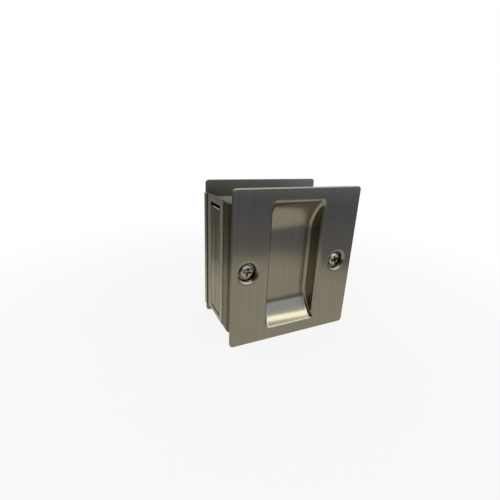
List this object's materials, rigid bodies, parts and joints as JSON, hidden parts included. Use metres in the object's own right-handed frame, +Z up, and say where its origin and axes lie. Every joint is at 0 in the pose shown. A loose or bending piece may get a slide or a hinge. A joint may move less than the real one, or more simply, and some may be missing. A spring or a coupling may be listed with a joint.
{
  "type": "pocket door pull",
  "caption": "Notch-type pocket door pull: drawn plates with finger cups clamp the door, and a slotted edge housing between them holds a flip-out edge pull.",
  "frame": {"origin": "under the middle of the whole object, on the plane of the plates' lower edges that it stands on", "axes": "+X across the plates, away from the door's edge; +Y through the door from the screwed front plate to the rear plate; +Z up"},
  "size_m": [0.0752, 0.0424, 0.0825],
  "materials": {
    "satin_nickel": "satin nickel plate over brushed sheet steel, grain running up and down",
    "polished_nickel": "bright nickel plate",
    "zinc_plated_steel": "plain zinc plate"
  },
  "bodies": {
    "pull_frame": {"front_plate": "satin_nickel", "rear_plate": "satin_nickel", "edge_housing": "satin_nickel", "rear_flange": "satin_nickel", "pull_pin": "zinc_plated_steel", "pull_spring": "zinc_plated_steel", "screw_left": "polished_nickel", "screw_right": "polished_nickel", "post_left": "zinc_plated_steel", "post_right": "zinc_plated_steel"},
    "finger_pull": {"edge_pull": "satin_nickel"}
  },
  "joints": [
    {"name": "pull_hinge", "type": "hinge", "parent": "pull_frame", "child": "finger_pull", "pos_m": [-0.03243, 0.00235, 0.06128], "axis": [0, 1, 0], "range_deg": [0, 80], "stiffness_Nm_per_rad": 0.002, "springref_deg": -85.94, "deforming": ["pull_spring"]}
  ]
}
